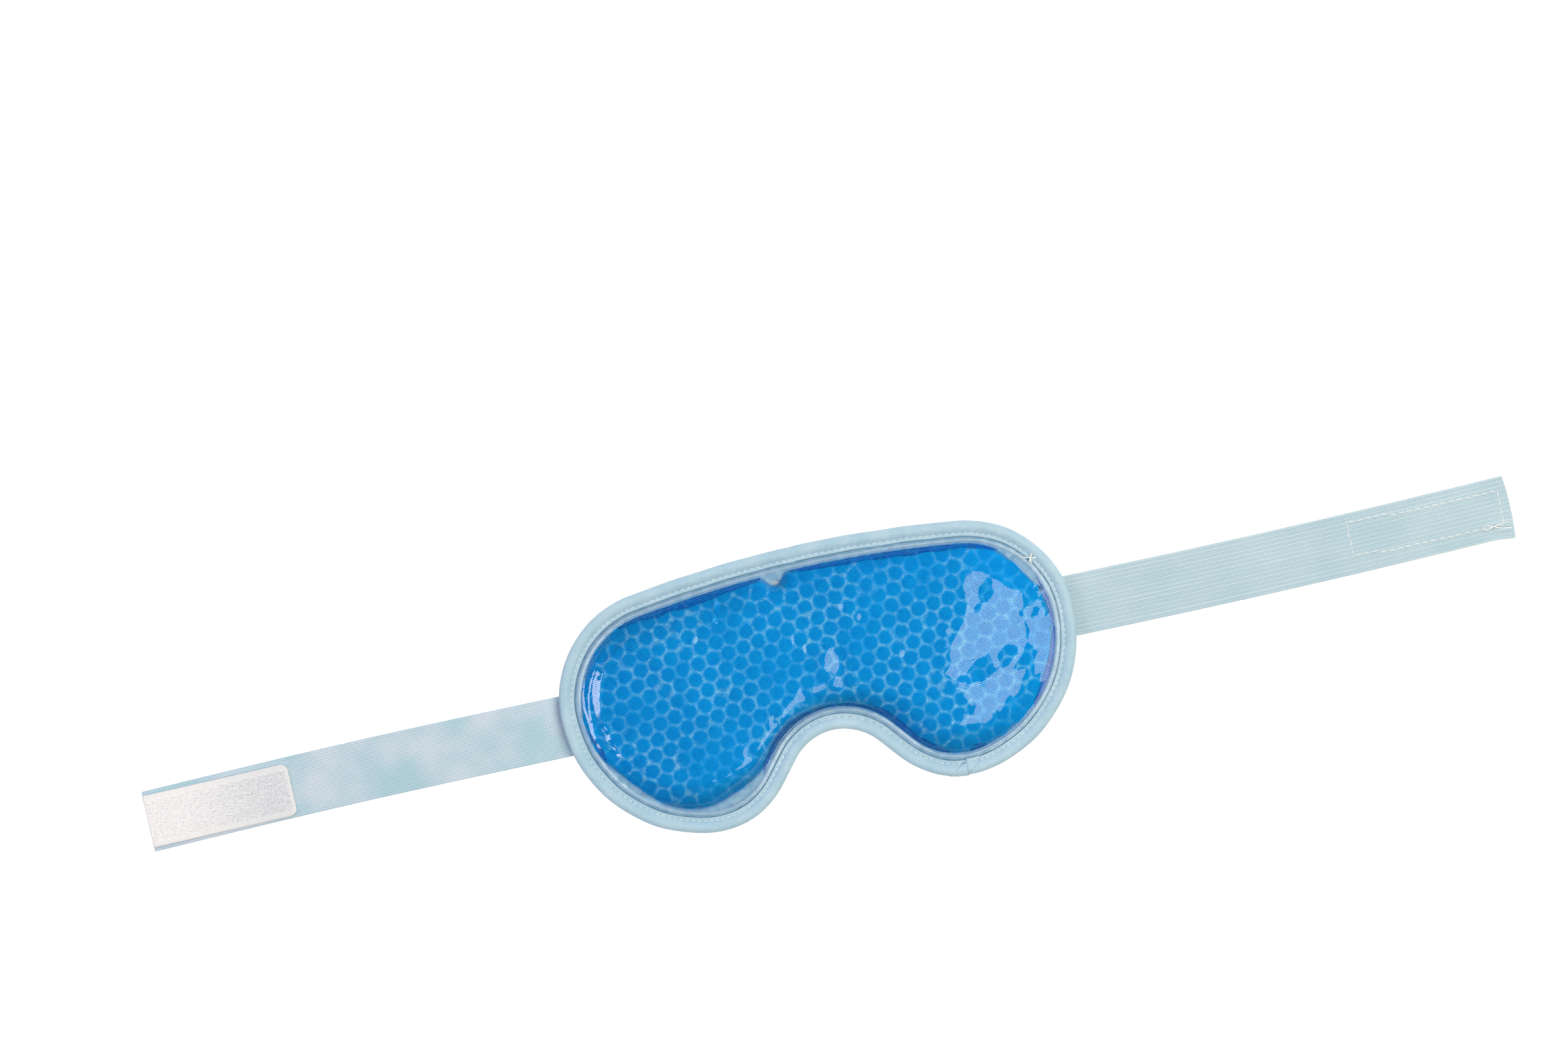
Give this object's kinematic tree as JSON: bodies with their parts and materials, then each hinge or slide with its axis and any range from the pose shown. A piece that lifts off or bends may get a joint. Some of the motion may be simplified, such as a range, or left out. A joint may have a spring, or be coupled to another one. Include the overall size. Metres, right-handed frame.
{
  "type": "gel bead eye mask",
  "caption": "Two-lobed gel-bead eye mask with a clear ribbed window, plush back, folded edge binding, nose notch and elastic straps that close with hook and loop patches.",
  "frame": {"origin": "on the resting face of the plush back, on the mask's line of symmetry, midway along its length", "axes": "+X along the mask and straps to the right, +Y towards the forehead edge, +Z out of the gel window"},
  "size_m": [0.567, 0.1062, 0.0118],
  "materials": {
    "plush": "short pile coral fleece, pale blue",
    "film": "clear glossy film with fine moulded ribs",
    "gel": "azure beads in blue liquid",
    "binding": "satin twill tape, pale blue-green",
    "elastic": "ribbed knitted elastic, pale blue-green",
    "thread": "twisted sewing thread, off-white",
    "hook": "white hook tape",
    "loop": "pale blue-green loop tape"
  },
  "bodies": {
    "left_lobe": {"plush_backing_left": "plush", "pouch_back_film_left": "film", "gel_bead_fill_left": "gel", "pouch_front_film_left": "film", "edge_binding_left": "binding", "binding_thread_front_left": "thread", "binding_thread_back_left": "thread", "left_strap_sewn_end": "elastic", "left_strap_tack": "thread"},
    "right_lobe": {"plush_backing_right": "plush", "pouch_back_film_right": "film", "gel_bead_fill_right": "gel", "pouch_front_film_right": "film", "edge_binding_right": "binding", "binding_thread_front_right": "thread", "binding_thread_back_right": "thread", "binding_join_tack": "thread", "cross_stitch": "thread", "right_strap_sewn_end": "elastic", "right_strap_tack": "thread"},
    "left_strap": {"left_strap_webbing": "elastic"},
    "right_strap": {"right_strap_webbing": "elastic"},
    "left_strap_end": {"hook_patch": "hook", "hook_patch_stitching": "thread"},
    "right_strap_end": {"loop_patch": "loop", "loop_patch_stitching": "thread", "thread_tail": "thread"}
  },
  "joints": [
    {"name": "nose_fold", "type": "hinge", "parent": "left_lobe", "child": "right_lobe", "pos_m": [0.001, 0, 0], "axis": [0, 1, 0], "range_deg": [-30, 150]},
    {"name": "left_strap_fold", "type": "hinge", "parent": "left_lobe", "child": "left_strap", "pos_m": [-0.107, 0, 0.0002], "axis": [0, 1, 0], "range_deg": [-90, 90]},
    {"name": "right_strap_fold", "type": "hinge", "parent": "right_lobe", "child": "right_strap", "pos_m": [0.107, 0, 0.0002], "axis": [0, 1, 0], "range_deg": [-90, 90]},
    {"name": "left_strap_stretch", "type": "slide", "parent": "left_strap", "child": "left_strap_end", "axis": [-1, 0, 0], "range_m": [0, 0.05], "stiffness_N_per_m": 100, "deforming": ["left_strap_webbing"]},
    {"name": "right_strap_stretch", "type": "slide", "parent": "right_strap", "child": "right_strap_end", "axis": [1, 0, 0], "range_m": [0, 0.05], "stiffness_N_per_m": 100, "deforming": ["right_strap_webbing"]}
  ]
}
